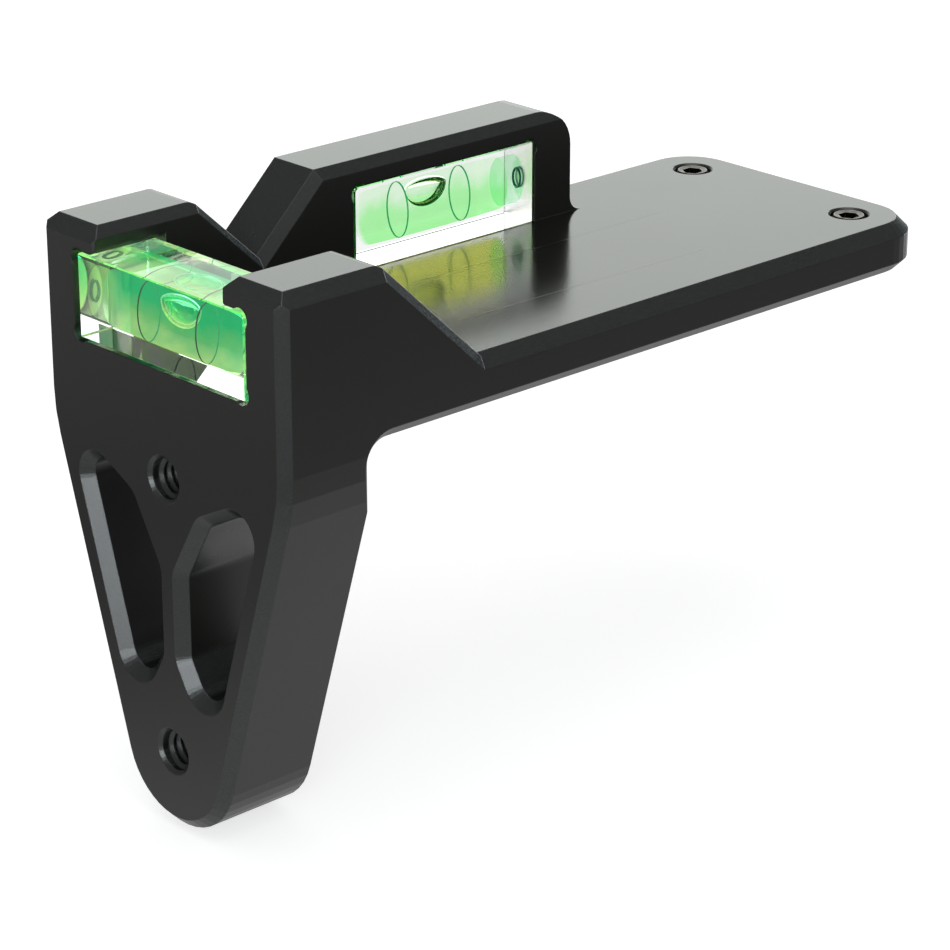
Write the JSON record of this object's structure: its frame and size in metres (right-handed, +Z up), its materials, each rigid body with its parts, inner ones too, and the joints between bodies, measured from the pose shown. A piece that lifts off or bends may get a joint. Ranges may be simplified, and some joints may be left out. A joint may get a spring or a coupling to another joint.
{
  "type": "bow sight leveler",
  "caption": "Black L-shaped levelling bracket with a tapered flange to bolt a bow sight on, a shelf to clamp level, and clear block vials facing the front and the side.",
  "frame": {"origin": "middle of the flat underside of the shelf, between the flange and the far end", "axes": "+X across the bracket towards the plain right side, +Y from the flange to the shelf's far end, +Z up out of the shelf's top"},
  "size_m": [0.0418, 0.1056, 0.069],
  "materials": {
    "anodised": "satin black anodised, fine mill marks",
    "acrylic": "polished clear acrylic",
    "fluid": "clear green vial fluid",
    "bubble": "clear bubble of air",
    "ring": "matt dark line",
    "seal": "dark sealing resin",
    "screw": "black oxide steel with bright worn rim"
  },
  "bodies": {
    "bracket": {"bracket": "anodised", "front_vial_block": "acrylic", "front_vial_plug": "acrylic", "front_vial_seal": "seal", "front_vial_fluid": "fluid", "front_vial_ring_plug_end": "ring", "front_vial_ring_blind_end": "ring", "side_vial_block": "acrylic", "side_vial_plug": "acrylic", "side_vial_seal": "seal", "side_vial_fluid": "fluid", "side_vial_ring_plug_end": "ring", "side_vial_ring_blind_end": "ring"},
    "front_bubble": {"front_vial_bubble": "bubble"},
    "side_bubble": {"side_vial_bubble": "bubble"},
    "right_screw": {"right_set_screw": "screw"},
    "left_screw": {"left_set_screw": "screw"}
  },
  "joints": [
    {"name": "front_bubble_travel", "type": "slide", "parent": "bracket", "child": "front_bubble", "axis": [1, 0, 0], "range_m": [-0.0085, 0.0053], "stiffness_N_per_m": 0.5},
    {"name": "side_bubble_travel", "type": "slide", "parent": "bracket", "child": "side_bubble", "axis": [0, -1, 0], "range_m": [-0.0085, 0.0053], "stiffness_N_per_m": 0.5},
    {"name": "right_screw_travel", "type": "slide", "parent": "bracket", "child": "right_screw", "axis": [0, 0, -1], "range_m": [0, 0.004]},
    {"name": "left_screw_travel", "type": "slide", "parent": "bracket", "child": "left_screw", "axis": [0, 0, -1], "range_m": [0, 0.004]}
  ]
}
